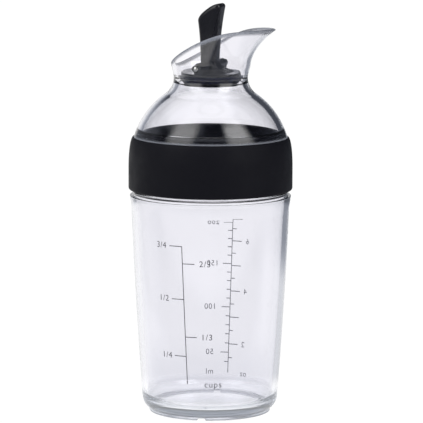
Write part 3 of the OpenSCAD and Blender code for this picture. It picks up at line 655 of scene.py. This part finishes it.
def lettering(words, u, z, height, side):
    """Generic figures or a unit, from the built-in font, wrapped on the cup: x becomes arc length
    and y height."""
    curve = bpy.data.curves.new("figures", "FONT")
    curve.body, curve.size = words, height / CAPITAL_SHARE
    curve.align_x, curve.align_y = "CENTER", "CENTER"
    curve.space_character = LETTER_SPACING
    text = bpy.data.objects.new("figures", curve)
    bpy.context.scene.collection.objects.link(text)
    bpy.context.view_layer.update()
    drawn = text.evaluated_get(bpy.context.evaluated_depsgraph_get())
    mesh = bpy.data.meshes.new_from_object(drawn)
    flat = np.zeros(len(mesh.vertices) * 3)
    mesh.vertices.foreach_get("co", flat)
    flat = flat.reshape(-1, 3)
    faces = [list(p.vertices) for p in mesh.polygons]
    bpy.data.objects.remove(text)
    bpy.data.meshes.remove(mesh)
    bpy.data.curves.remove(curve)
    height_z = z + flat[:, 1]
    degrees = u + np.degrees(flat[:, 0] / cup_side(height_z))
    return on_cup(degrees, height_z, side, INK_LIFT), faces


def fill_height(volume, fill):
    """Height c0 + c1 v + c2 v^2 of a mark for v millilitres."""
    return fill[0] + fill[1] * volume + fill[2] * volume**2


def lean(z, line):
    """Angle of a scale's long line at a height: it leans evenly as the cup widens."""
    foot_z, degrees, leaned, rise = line
    return degrees - leaned * (z - foot_z) / rise


def long_line(line, high, side):
    """A scale's long line, from its lower end up to a height."""
    low = line[0]
    return stroke((lean(low, line), low), (lean(high, line), high), side, 40)


def tick(line, z, reach, side, steps):
    """A mark that reaches so many degrees from the long line, to the right if reach is positive."""
    u = lean(z, line)
    return stroke((u, z), (u + reach, z), side, steps)


def front_scale():
    """Cups: one long line that leans as the cup tapers, with thirds to the right and quarters to
    the left."""
    third_reach, quarter_reach, label_out, label_h = 9.2, -9.9, 17.0, 2.5
    parts = [long_line(FRONT_LINE, fill_height(0.75 * CUP_ML, FRONT_FILL), FRONT)]
    marks = (("3/4", 0.75), ("2/3", 2 / 3), ("1/2", 0.5), ("1/3", 1 / 3), ("1/4", 0.25))
    for words, share in marks:
        z = fill_height(share * CUP_ML, FRONT_FILL)
        reach = third_reach if words.endswith("3") else quarter_reach
        parts.append(tick(FRONT_LINE, z, reach, FRONT, 8))
        u = lean(z, FRONT_LINE) + math.copysign(label_out, reach)
        parts.append(lettering(words, u, z, label_h, FRONT))
    parts.append(lettering("cups", 2.6, 16.2, 2.6, FRONT))
    return joined(*parts)


def back_scale():
    """Millilitres to the right of one long line and ounces to its left, read from behind."""
    label_h = 2.4
    parts = [long_line(BACK_LINE, fill_height(7 * OUNCE_ML, BACK_FILL), BACK)]
    for volume in range(40, 201, 10):
        z = fill_height(volume, BACK_FILL)
        labelled = volume % 50 == 0
        parts.append(tick(BACK_LINE, z, 7.4 if labelled else 3.6, BACK, 6))
        if labelled:
            u = lean(z, BACK_LINE) + (15.6 if volume > 100 else 17.0)
            parts.append(lettering(str(volume), u, z, label_h, BACK))
    for half in range(3, 15):
        z = fill_height(half * OUNCE_ML / 2, BACK_FILL)
        parts.append(tick(BACK_LINE, z, -8.4 if half % 2 == 0 else -3.4, BACK, 6))
        if half % 4 == 0:
            u = lean(z, BACK_LINE) - 13.6
            parts.append(lettering(str(half // 2), u, z, label_h, BACK))
    parts.append(lettering("ml", 0.4, 11.2, label_h, BACK))
    parts.append(lettering("oz", -32.2, 10.8, label_h, BACK))
    return joined(*parts)


# ---------------------------------------------------------------- materials
# Share of light that a fully hazy lip or weld scatters, which on the dome is painted shade and
# painted light, and how much rougher it is.
HAZE_AND_PAINTED_LIGHT, SATIN = 0.62, 0.22


def linear(code):
    """Linear colour of an sRGB hex value: c / 12.92 up to 0.04045, else
    ((c + 0.055) / 1.055) ** 2.4."""
    c = np.array([int(code[i : i + 2], 16) for i in (1, 3, 5)]) / 255
    return (*np.where(c <= 0.04045, c / 12.92, ((c + 0.055) / 1.055) ** 2.4).tolist(), 1.0)


def add(tree, kind, inputs=(), **settings):
    """Adds one node. inputs maps a socket to a value or to the socket that feeds it; settings are
    the node's own."""
    made = tree.nodes.new("ShaderNode" + kind)
    for name, value in settings.items():
        setattr(made, name, value)
    for name, value in dict(inputs).items():
        if isinstance(value, bpy.types.NodeSocket):
            tree.links.new(value, made.inputs[name])
        else:
            made.inputs[name].default_value = value
    return made


def blank(name):
    """An empty material, its node tree and its output node."""
    made = bpy.data.materials.new(name)
    made.use_nodes = True
    made.node_tree.nodes.clear()
    return made, made.node_tree, add(made.node_tree, "OutputMaterial")


def clear_copolyester(name, ripple, haze_and_painted_light_colour):
    """Injection-moulded clear copolyester, polished tool: glassy, faintly blue-grey where it is
    thick, with the slow ripple that a moulded wall shows in its reflections, and a satin, hazy look
    where the attribute "edge" marks a lip, a weld or the cup's foot, with the colour that the haze
    scatters. On the dome that colour is a dark grey. It is painted shade as the grey band along the
    spout's rim, and painted light as the line at the weld to the grip. Lamps reach what it
    encloses."""
    made, tree, out = blank(name)
    place = add(tree, "TexCoord").outputs["Object"]
    flow = add(tree, "TexNoise", {"Vector": place, "Scale": 90.0, "Detail": 1.0}).outputs["Fac"]
    bump = add(tree, "Bump", {"Height": flow, "Strength": 1.0, "Distance": ripple})
    scuff = add(tree, "TexNoise", {"Vector": place, "Scale": 700.0, "Detail": 3.0}).outputs["Fac"]
    rough = add(tree, "MapRange", {
        "Value": scuff, "From Min": 0.35, "From Max": 0.75, "To Min": 0.008, "To Max": 0.025,
    })
    edge = add(tree, "Attribute", attribute_name="edge").outputs["Fac"]
    satin_parts = {0: edge, 1: SATIN, 2: rough.outputs["Result"]}
    satin = add(tree, "Math", satin_parts, operation="MULTIPLY_ADD")
    body = add(tree, "BsdfPrincipled", {
        "Base Color": linear("#FDFCFF"), "Roughness": satin.outputs[0], "IOR": 1.55,
        "Transmission Weight": 1.0, "Normal": bump.outputs["Normal"],
    })
    haze_and_painted_light = add(tree, "BsdfDiffuse", {"Color": linear(haze_and_painted_light_colour)})
    share = add(tree, "Math", {0: edge, 1: HAZE_AND_PAINTED_LIGHT}, operation="MULTIPLY").outputs[0]
    with_haze_and_painted_light = add(tree, "MixShader", {0: share, 1: body.outputs[0], 2: haze_and_painted_light.outputs[0]})
    lamp = add(tree, "LightPath").outputs["Is Shadow Ray"]
    through = add(tree, "BsdfTransparent", {"Color": linear("#EDEDF3")})
    both = add(tree, "MixShader", {0: lamp, 1: with_haze_and_painted_light.outputs[0], 2: through.outputs[0]})
    tint = add(tree, "VolumeAbsorption", {"Color": linear("#D5DEE8"), "Density": 30.0})
    tree.links.new(both.outputs[0], out.inputs["Surface"])
    tree.links.new(tint.outputs[0], out.inputs["Volume"])
    return made


def moulded(name, colour, darker, rough, ior, grain, depth, spread=0.06, specular=0.5):
    """A moulded plastic or rubber: one pigment that varies a little between two hex colours, with
    the tool's surface as a bump of the given grain (features a metre) and depth, and roughness that
    drifts where it has been handled."""
    made, tree, out = blank(name)
    place = add(tree, "TexCoord").outputs["Object"]
    cloud = add(tree, "TexNoise", {"Vector": place, "Scale": 60.0, "Detail": 3.0}).outputs["Fac"]
    mix = add(tree, "Mix", {0: cloud, 6: linear(darker), 7: linear(colour)}, data_type="RGBA")
    handled = add(tree, "TexNoise", {"Vector": place, "Scale": 140.0, "Detail": 4.0}).outputs["Fac"]
    drift = add(tree, "MapRange", {
        "Value": handled, "From Min": 0.3, "From Max": 0.7,
        "To Min": rough - spread, "To Max": rough + spread,
    })
    texture = add(tree, "TexNoise", {
        "Vector": place, "Scale": grain, "Detail": 2.0, "Roughness": 0.6,
    }).outputs["Fac"]
    bump = add(tree, "Bump", {"Height": texture, "Strength": 1.0, "Distance": depth})
    body = add(tree, "BsdfPrincipled", {
        "Base Color": mix.outputs[2], "Roughness": drift.outputs["Result"], "IOR": ior,
        "Specular IOR Level": specular, "Normal": bump.outputs["Normal"],
    })
    tree.links.new(body.outputs[0], out.inputs["Surface"])
    return made


def turned_steel(name):
    """Stainless steel pin, turned and polished: bright, with fine rings from the lathe across its
    length and ends."""
    made, tree, out = blank(name)
    place = add(tree, "TexCoord").outputs["Object"]
    rings = add(
        tree, "TexWave", {"Vector": place, "Scale": 900.0, "Distortion": 0.6, "Detail": 2.0},
        wave_type="BANDS", bands_direction="Y",
    ).outputs["Fac"]
    bump = add(tree, "Bump", {"Height": rings, "Strength": 1.0, "Distance": 0.000004})
    wipe = add(tree, "TexNoise", {"Vector": place, "Scale": 1200.0, "Detail": 3.0}).outputs["Fac"]
    rough = add(tree, "MapRange", {
        "Value": wipe, "From Min": 0.3, "From Max": 0.7, "To Min": 0.12, "To Max": 0.26,
    })
    body = add(tree, "BsdfPrincipled", {
        "Base Color": linear("#CFCECB"), "Metallic": 1.0, "Roughness": rough.outputs["Result"],
        "Normal": bump.outputs["Normal"],
    })
    tree.links.new(body.outputs[0], out.inputs["Surface"])
    return made


cup_plastic = clear_copolyester("clear_copolyester_cup_moulded", 0.000005, "#E6EAEF")
# The dome's haze colour is a dark grey: painted shade as the band along the spout's rim, and
# painted light as the line at the weld to the grip.
dome_plastic = clear_copolyester("clear_copolyester_dome_moulded", 0.000006, "#9296A0")
# Glossy polypropylene off a polished tool, with a faint orange peel about a millimetre across.
gloss_black = moulded(
    "black_polypropylene_polished_tool", "#15151B", "#101015",
    rough=0.14, ior=1.49, grain=900.0, depth=0.000003, spread=0.04,
)
# Soft thermoplastic elastomer off a spark-eroded tool: fine matte grain, drawn at 0.4 mm so that it
# shows.
grip_black = moulded(
    "black_elastomer_matte_grain", "#0C0C13", "#090910",
    rough=0.6, ior=1.5, grain=2500.0, depth=0.00002, specular=0.16,
)
# Moulded liquid silicone, satin, blue-black.
seal_black = moulded(
    "blue_black_silicone_moulded", "#070E2C", "#060A22",
    rough=0.42, ior=1.41, grain=1800.0, depth=0.000008, specular=0.1,
)
# Moulded natural silicone, satin and a little chalky.
gasket_pale = moulded(
    "natural_silicone_gasket_moulded", "#D9D9DC", "#CFCFD4",
    rough=0.5, ior=1.41, grain=1500.0, depth=0.000008,
)
# Screen-printed grey ink, satin, a little uneven in cover. The back scale's copy is the same ink
# painted lighter: painted light for the veil that the cup's two walls lay over it.
scale_ink = moulded(
    "grey_screen_print_ink", "#53535B", "#44444C",
    rough=0.5, ior=1.5, grain=3000.0, depth=0.000004,
)
# The same ink painted lighter for the back scale: painted light, for the walls in front of it that
# veil it with light.
ink_painted_lighter = moulded(
    "grey_screen_print_ink_painted_lighter", "#7B7B83", "#6A6A72",
    rough=0.5, ior=1.5, grain=3000.0, depth=0.000004,
)
steel = turned_steel("stainless_steel_pin_turned")

# ---------------------------------------------------------------- the pieces
cup = piece("cup_clear", cup_skin(), cup_plastic, "cup", ("container",))
dome = piece(
    "dome_and_spout", dome_skin(), dome_plastic, "lid", ("dome_spout",)
)
for clear, share_at in ((cup, foot_share), (dome, edge_share)):
    corners = np.zeros(len(clear.data.vertices) * 3)
    clear.data.vertices.foreach_get("co", corners)
    edge = clear.data.attributes.new("edge", "FLOAT", "POINT")
    edge.data.foreach_set("value", share_at(corners.reshape(-1, 3) / MM))
lever_skin = joined(stem_skin(), spool_skin(), barrel_skin())
piece("hard_ring", core_skin(), gloss_black, "lid", ("collar_core",))
piece("soft_grip", grip_skin(), grip_black, "lid", ("collar_grip",))
piece("gasket_flat", gasket_skin(), gasket_pale, "gasket_ring", ("rim_gasket",))
piece("pin_bar", pin_skin(), steel, "lid", ("pivot_pin",))
piece("thumb_lever", lever_skin, gloss_black, "stopper_lever", ("lever",))
piece("seal_ring", seal_skin(), seal_black, "stopper_lever", ("stopper_seal",))
scales = (("scale_cups", front_scale(), scale_ink), ("scale_ml_oz", back_scale(), ink_painted_lighter))
for name, marks, cover in scales:
    ink = piece(name, marks, cover, "cup")
    solid = ink.modifiers.new("ink thickness", "SOLIDIFY")
    solid.thickness, solid.offset = INK_T * MM, 1.0

# ---------------------------------------------------------------- floor, light and camera
scene = bpy.context.scene
a = math.radians(CAMERA_AZIMUTH)
right = Vector((math.cos(a), math.sin(a), 0))
toward = Vector((math.sin(a), -math.cos(a), 0))
# Middle of the bottle's height, in metres: lamps face it, and the floor's picture is seen from it.
MIDDLE_Z = 0.09

# What mirrors and clear plastic see of the studio. Bearings are degrees to the right of straight
# behind the bottle, and heights are sines of the elevation, so the floor is below zero and the
# floor's far parts are near it. "behind" is 1 straight behind the bottle and -1 on the camera's
# side. Each set has its ground brightness and its layers. A layer is its brightness and the limits
# that it fades in over, each a measure with where it starts and where it is full.
SEEN_MIRRORED = (0.05, [
    # Floor: its far and its nearer part, all round, then three strips on the camera's side.
    (1.0, [("height", 0.0, -0.05), ("height", -0.125, -0.085)]),
    (0.8, [("height", -0.12, -0.3)]),
    (0.3, [("height", -0.1, -0.14), ("height", -0.36, -0.24), ("behind", 0.1, -0.3)]),
    (0.55, [("height", -0.24, -0.38), ("behind", 0.1, -0.3)]),
    (0.6, [("height", -0.5, -0.65), ("behind", 0.1, -0.3)]),
    # Overhead, the light wall high on the left, and the white backdrop with the floor before it.
    (1.0, [("height", 0.84, 0.95)]),
    (0.9, [("bearing", -10, -40), ("bearing", -175, -140), ("height", 0.5, 0.75)]),
    (1.0, [("bearing", -105, -65), ("bearing", 28, 14), ("height", 0.36, 0.06)]),
    # The left and the right softbox.
    (2.4, [("bearing", -160, -140), ("bearing", -98, -118),
           ("height", 0.0, 0.25), ("height", 0.95, 0.7)]),
    (3.2, [("bearing", 160, 142), ("bearing", 102, 120),
           ("height", 0.0, 0.25), ("height", 0.95, 0.7)]),
    # Dark cards: one on the right from below level, and one on each side from level up.
    (0.4, [("bearing", 12, 22), ("bearing", 100, 80),
           ("height", -0.27, -0.17), ("height", 0.4, 0.2)]),
    (0.1, [("bearing", 2, 12), ("bearing", 100, 80),
           ("height", -0.05, 0.02), ("height", 0.55, 0.4)]),
    (0.38, [("bearing", -18, -34), ("bearing", -100, -75),
            ("height", -0.05, 0.02), ("height", 0.6, 0.4)]),
    # Floor straight under the bottle.
    (1.15, [("height", -0.7, -0.88)]),
])
SEEN_THROUGH = (1.0, [
    # Floor near the bottle, floor straight under it, and overhead.
    (0.93, [("height", -0.4, -0.7)]),
    (1.15, [("height", -0.8, -0.93)]),
    (0.6, [("height", 0.5, 0.85)]),
])


def studio(tree, direction):
    """Brightness and colour of the studio in a direction: layers laid one over the other, each with
    the share that is the product of its smooth steps, and bluer where it is dark. A path that has
    been mirrored anywhere sees the first set, and one only bent the second."""
    dots = [
        add(tree, "VectorMath", {0: direction, 1: tuple(axis)}, operation="DOT_PRODUCT")
        for axis in (right, -toward)
    ]
    rightward, behind = [dot.outputs["Value"] for dot in dots]
    turn = add(tree, "Math", {0: rightward, 1: behind}, operation="ARCTAN2").outputs[0]
    degrees = add(tree, "Math", {0: turn, 1: math.degrees(1)}, operation="MULTIPLY").outputs[0]
    height = add(tree, "SeparateXYZ", {"Vector": direction}).outputs["Z"]
    measures = {"behind": behind, "bearing": degrees, "height": height}
    levels = []
    for level, layers in (SEEN_MIRRORED, SEEN_THROUGH):
        for brightness, limits in layers:
            share = 1.0
            for measure, start, full in limits:
                fade = {"Value": measures[measure], "From Min": start, "From Max": full}
                step = add(tree, "MapRange", fade, interpolation_type="SMOOTHSTEP").outputs[0]
                share = add(tree, "Math", {0: share, 1: step}, operation="MULTIPLY").outputs[0]
            level = add(tree, "Mix", {0: share, 2: level, 3: brightness}).outputs[0]
        levels.append(level)
    glossy = add(tree, "LightPath").outputs["Glossy Depth"]
    mirrored = add(tree, "Math", {0: glossy, 1: 0.5}, operation="GREATER_THAN").outputs[0]
    level = add(tree, "Mix", {0: mirrored, 2: levels[1], 3: levels[0]}).outputs[0]
    hues = {0: level, 6: linear("#CAD4EA"), 7: linear("#FFFFFF")}
    return level, add(tree, "Mix", hues, data_type="RGBA").outputs[2]


def sees_studio(tree, path):
    """1 for a path that a mirror or clear plastic sends out, and 0 for the camera's own and for
    diffuse light."""
    kinds = {0: path.outputs["Is Glossy Ray"], 1: path.outputs["Is Transmission Ray"]}
    return add(tree, "Math", kinds, operation="MAXIMUM").outputs[0]


# Half the floor's side and its drop under the foot, in metres, then the brightness of the light
# that it sends to the camera, and the share of that light beside the lit surface.
FLOOR_HALF, FLOOR_DROP, FLOOR_GLOW, FLOOR_GLOW_SHARE = 8.0, 0.00005, 1.06, 0.93
# Brightness of the world to the camera and to diffuse light.
BACKDROP, FILL = 1.03, 0.5

floor_mesh = bpy.data.meshes.new("floor")
corner_signs = ((-1, -1), (1, -1), (1, 1), (-1, 1))
floor_corners = [(x * FLOOR_HALF, y * FLOOR_HALF, -FLOOR_DROP) for x, y in corner_signs]
floor_mesh.from_pydata(floor_corners, [], [(0, 1, 2, 3)])
floor, tree, out = blank("pale_floor")
path = add(tree, "LightPath")
dull = add(tree, "BsdfDiffuse", {"Color": linear("#F4F4F6")})
white = add(tree, "Emission", {"Color": linear("#FFFFFF"), "Strength": FLOOR_GLOW})
shares = {0: path.outputs["Is Camera Ray"], 1: FLOOR_GLOW_SHARE}
share = add(tree, "Math", shares, operation="MULTIPLY").outputs[0]
plain = add(tree, "MixShader", {0: share, 1: dull.outputs[0], 2: white.outputs[0]})
from_middle = {0: add(tree, "TexCoord").outputs["Object"], 1: (0, 0, -MIDDLE_Z)}
offset = add(tree, "VectorMath", from_middle, operation="ADD").outputs[0]
outward = add(tree, "VectorMath", {0: offset}, operation="NORMALIZE").outputs[0]
level, hue = studio(tree, outward)
pool = add(tree, "Emission", {"Color": hue, "Strength": level})
both = add(tree, "MixShader", {0: sees_studio(tree, path), 1: plain.outputs[0], 2: pool.outputs[0]})
tree.links.new(both.outputs[0], out.inputs["Surface"])
floor_mesh.materials.append(floor)
floor_piece = bpy.data.objects.new("floor", floor_mesh)
scene.collection.objects.link(floor_piece)

world = bpy.data.worlds.new("studio")
world.use_nodes = True
scene.world = world
tree = world.node_tree
tree.nodes.clear()
path = add(tree, "LightPath")
mirror = sees_studio(tree, path)
level, hue = studio(tree, add(tree, "TexCoord").outputs["Generated"])
strength = add(tree, "Mix", {0: mirror, 2: FILL, 3: level}).outputs[0]
strength = add(tree, "Mix", {0: path.outputs["Is Camera Ray"], 2: strength, 3: BACKDROP})
tinge = add(tree, "Mix", {0: mirror, 6: linear("#FFFFFF"), 7: hue}, data_type="RGBA").outputs[2]
sky = add(tree, "Background", {"Color": tinge, "Strength": strength.outputs[0]})
tree.links.new(sky.outputs[0], add(tree, "OutputWorld").inputs["Surface"])


def softbox(name, azimuth, elevation, distance, width, height, watts):
    """A rectangular lamp at a bearing from the camera's azimuth, facing the middle of the
    bottle."""
    lamp = bpy.data.lights.new(name, "AREA")
    lamp.shape, lamp.size, lamp.size_y, lamp.energy = "RECTANGLE", width, height, watts
    made = bpy.data.objects.new(name, lamp)
    b, e = math.radians(CAMERA_AZIMUTH + azimuth), math.radians(elevation)
    out = Vector((math.sin(b) * math.cos(e), -math.cos(b) * math.cos(e), math.sin(e)))
    made.location = Vector((0, 0, MIDDLE_Z)) + out * distance
    made.rotation_euler = (-out).to_track_quat("-Z", "Y").to_euler()
    # Mirrors and clear plastic see its soft-edged picture in the studio's layers instead.
    made.visible_glossy = made.visible_transmission = False
    scene.collection.objects.link(made)


softbox("softbox_left", -52, 22, distance=1.8, width=1.3, height=1.5, watts=15)
softbox("softbox_right", 52, 22, distance=1.8, width=1.1, height=1.5, watts=12)

# Lens and sensor in millimetres, the camera's distance and height in metres, then the height and
# the step to the right that it faces, in metres, and its roll in degrees.
LENS, SENSOR, CAMERA_DISTANCE, CAMERA_Z = 301.8, 36.0, 1.5, 0.3024
AIM_Z, AIM_RIGHT, ROLL = 0.08586, 0.00047, 0.2

camera = bpy.data.cameras.new("camera")
camera.lens, camera.sensor_width = LENS, SENSOR
camera.clip_start, camera.clip_end = 0.1, 30.0
eye = bpy.data.objects.new("camera", camera)
eye.location = toward * CAMERA_DISTANCE + Vector((0, 0, CAMERA_Z))
aim = Vector((0, 0, AIM_Z)) + right * AIM_RIGHT
turn = (aim - eye.location).to_track_quat("-Z", "Y").to_matrix()
turn = turn @ Matrix.Rotation(math.radians(ROLL), 3, "Z")
eye.rotation_euler = turn.to_euler()
scene.collection.objects.link(eye)
scene.camera = eye
scene.view_settings.view_transform = "Standard"
